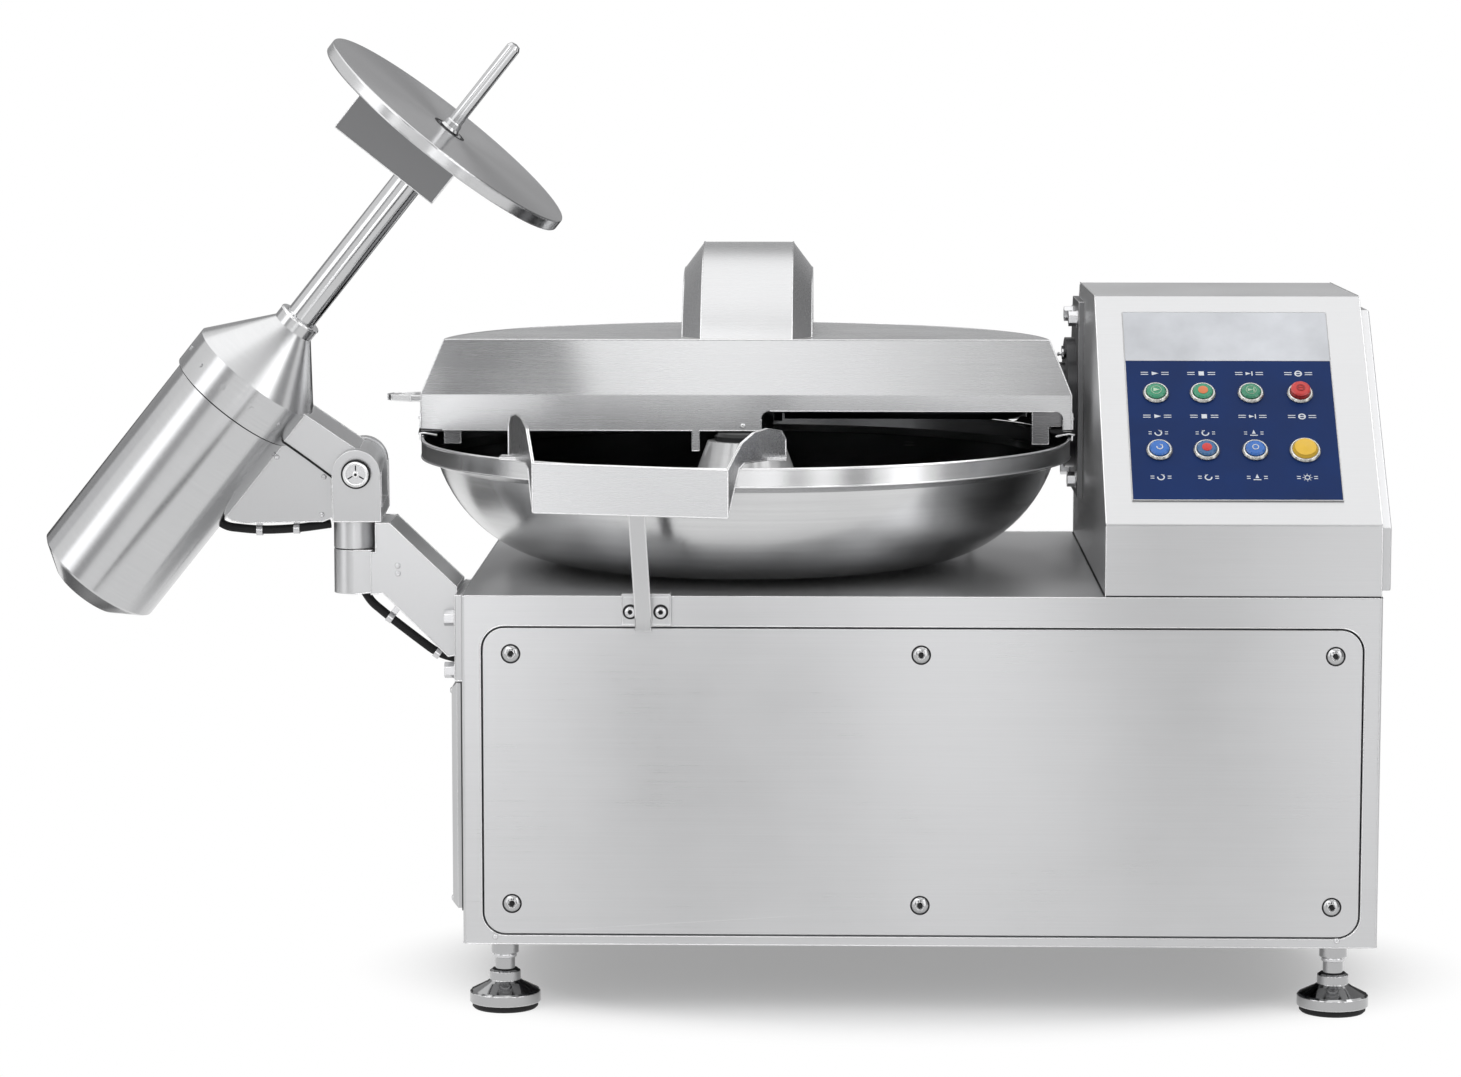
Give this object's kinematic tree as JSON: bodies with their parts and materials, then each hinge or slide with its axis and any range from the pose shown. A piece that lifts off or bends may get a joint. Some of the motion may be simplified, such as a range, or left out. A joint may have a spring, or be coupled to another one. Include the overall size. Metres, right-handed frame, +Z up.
{
  "type": "meat bowl cutter",
  "caption": "Floor-standing bowl cutter: turning trough bowl on a steel cabinet, half-round knife cover with hood, sloping control tower and a swinging discharge disc on a drive arm.",
  "frame": {"origin": "on the floor under the middle of the machine, arm and tower included", "axes": "+X along the front to the right seen from the front, +Y from the front to the rear, +Z up"},
  "size_m": [2.1452, 1.1541, 1.5493],
  "materials": {
    "cabinet_steel": "brushed along the length, satin",
    "tower_steel": "brushed, satin",
    "cover_steel": "fine brushed, bright satin",
    "bowl_steel": "turned rings, satin",
    "arm_steel": "bead blasted, satin",
    "machined_steel": "machined, bright",
    "frame_steel": "grey primer, satin",
    "cast_parts": "painted casting, satin",
    "blade_steel": "ground, bright",
    "bronze": "cut gear bronze",
    "belt_rubber": "ribbed, matte",
    "foot_rubber": "moulded, matte",
    "seal_rubber": "moulded, matte",
    "cable_jacket": "smooth, matte",
    "cap_plastic": "moulded, matte",
    "panel_blue": "printed film, semi-gloss",
    "panel_pale": "printed film, semi-gloss",
    "button_green": "moulded, gloss",
    "button_red": "moulded, gloss",
    "button_blue": "moulded, gloss",
    "lamp_yellow": "translucent lens, gloss"
  },
  "bodies": {
    "machine": {"cabinet_shell": "cabinet_steel", "base_frame": "frame_steel", "front_panel": "cabinet_steel", "rear_panel": "cabinet_steel", "panel_screws": "machined_steel", "left_side_cover": "cabinet_steel", "right_side_cover": "cabinet_steel", "levelling_feet": "machined_steel", "foot_pads": "foot_rubber", "tower_shell": "tower_steel", "tower_door": "tower_steel", "control_plate": "panel_blue", "display_window": "panel_pale", "button_bezels": "machined_steel", "power_lamp": "lamp_yellow", "bearing_plate": "arm_steel", "knife_housing": "arm_steel", "shaft_bearings": "machined_steel", "knife_belts": "belt_rubber", "knife_motor": "cast_parts", "spindle_housing": "arm_steel", "gearbox_case": "cast_parts", "bowl_motor": "cast_parts", "hinge_bracket": "arm_steel", "chute": "cover_steel", "chute_post": "arm_steel", "arm_bracket": "arm_steel", "hex_bolts": "machined_steel", "arm_cable": "cable_jacket"},
    "knives": {"knife_shaft": "machined_steel", "knife_set": "blade_steel", "knife_pulley": "cast_parts"},
    "motor_rotor": {"motor_pulley": "cast_parts"},
    "bowl_body": {"bowl": "bowl_steel", "bowl_spindle": "machined_steel", "hub_cap": "cap_plastic", "worm_wheel": "bronze"},
    "worm": {"worm_shaft": "machined_steel"},
    "cover": {"cover_shell": "cover_steel", "knife_hood": "cover_steel", "cover_seal": "seal_rubber"},
    "yoke": {"swivel_yoke": "arm_steel", "tilt_pin": "machined_steel"},
    "carrier": {"arm_carrier": "arm_steel", "drive_barrel": "arm_steel", "barrel_cone": "arm_steel", "discharge_tube": "machined_steel", "gearmotor": "cast_parts", "scraper_plate": "arm_steel", "gusset_cable": "cable_jacket"},
    "disc": {"discharge_shaft": "machined_steel", "discharge_disc": "arm_steel", "handle_rod": "machined_steel"},
    "run_key": {"run_button": "button_green"},
    "stop_key": {"stop_button": "button_green"},
    "jog_key": {"jog_button": "button_green"},
    "emergency_key": {"emergency_button": "button_red"},
    "forward_key": {"forward_button": "button_blue"},
    "reverse_key": {"reverse_button": "button_blue"},
    "discharge_key": {"discharge_button": "button_blue"}
  },
  "joints": [
    {"name": "bowl_spin", "type": "hinge", "parent": "machine", "child": "bowl_body", "pos_m": [0.05, 0.007, 0.687], "axis": [0, 0, 1], "continuous": true},
    {"name": "worm_spin", "type": "hinge", "parent": "machine", "child": "worm", "pos_m": [0.05, 0.1305, 0.498], "axis": [1, 0, 0], "continuous": true},
    {"name": "knife_spin", "type": "hinge", "parent": "machine", "child": "knives", "pos_m": [0.05, 0.297, 0.922], "axis": [1, 0, 0], "continuous": true},
    {"name": "motor_spin", "type": "hinge", "parent": "machine", "child": "motor_rotor", "pos_m": [0.905, 0.072, 0.328], "axis": [1, 0, 0], "continuous": true},
    {"name": "cover_hinge", "type": "hinge", "parent": "machine", "child": "cover", "pos_m": [0.41, 0.557, 0.918], "axis": [-1, 0, 0], "range_deg": [0, 75]},
    {"name": "arm_swivel", "type": "hinge", "parent": "machine", "child": "yoke", "pos_m": [-0.572, -0.298, 0.76], "axis": [0, 0, 1], "range_deg": [-60, 8]},
    {"name": "arm_tilt", "type": "hinge", "parent": "yoke", "child": "carrier", "pos_m": [-0.5633, -0.298, 0.8666], "axis": [0, 0.9954, 0.0958], "range_deg": [0, 56]},
    {"name": "disc_spin", "type": "hinge", "parent": "carrier", "child": "disc", "pos_m": [-0.73587, -0.31131, 1.00481], "axis": [0.6269, -0.0747, 0.7755], "continuous": true},
    {"name": "run_press", "type": "slide", "parent": "machine", "child": "run_key", "axis": [0, 0.6998, -0.7143], "range_m": [0, 0.002], "stiffness_N_per_m": 900},
    {"name": "stop_press", "type": "slide", "parent": "machine", "child": "stop_key", "axis": [0, 0.6998, -0.7143], "range_m": [0, 0.002], "stiffness_N_per_m": 900},
    {"name": "jog_press", "type": "slide", "parent": "machine", "child": "jog_key", "axis": [0, 0.6998, -0.7143], "range_m": [0, 0.002], "stiffness_N_per_m": 900},
    {"name": "emergency_press", "type": "slide", "parent": "machine", "child": "emergency_key", "axis": [0, 0.6998, -0.7143], "range_m": [0, 0.002], "stiffness_N_per_m": 900},
    {"name": "forward_press", "type": "slide", "parent": "machine", "child": "forward_key", "axis": [0, 0.6998, -0.7143], "range_m": [0, 0.002], "stiffness_N_per_m": 900},
    {"name": "reverse_press", "type": "slide", "parent": "machine", "child": "reverse_key", "axis": [0, 0.6998, -0.7143], "range_m": [0, 0.002], "stiffness_N_per_m": 900},
    {"name": "discharge_press", "type": "slide", "parent": "machine", "child": "discharge_key", "axis": [0, 0.6998, -0.7143], "range_m": [0, 0.002], "stiffness_N_per_m": 900}
  ],
  "couplings": [
    {"joint": "worm_spin", "follows": "bowl_spin", "ratio": 40},
    {"joint": "motor_spin", "follows": "knife_spin", "ratio": 0.7}
  ]
}
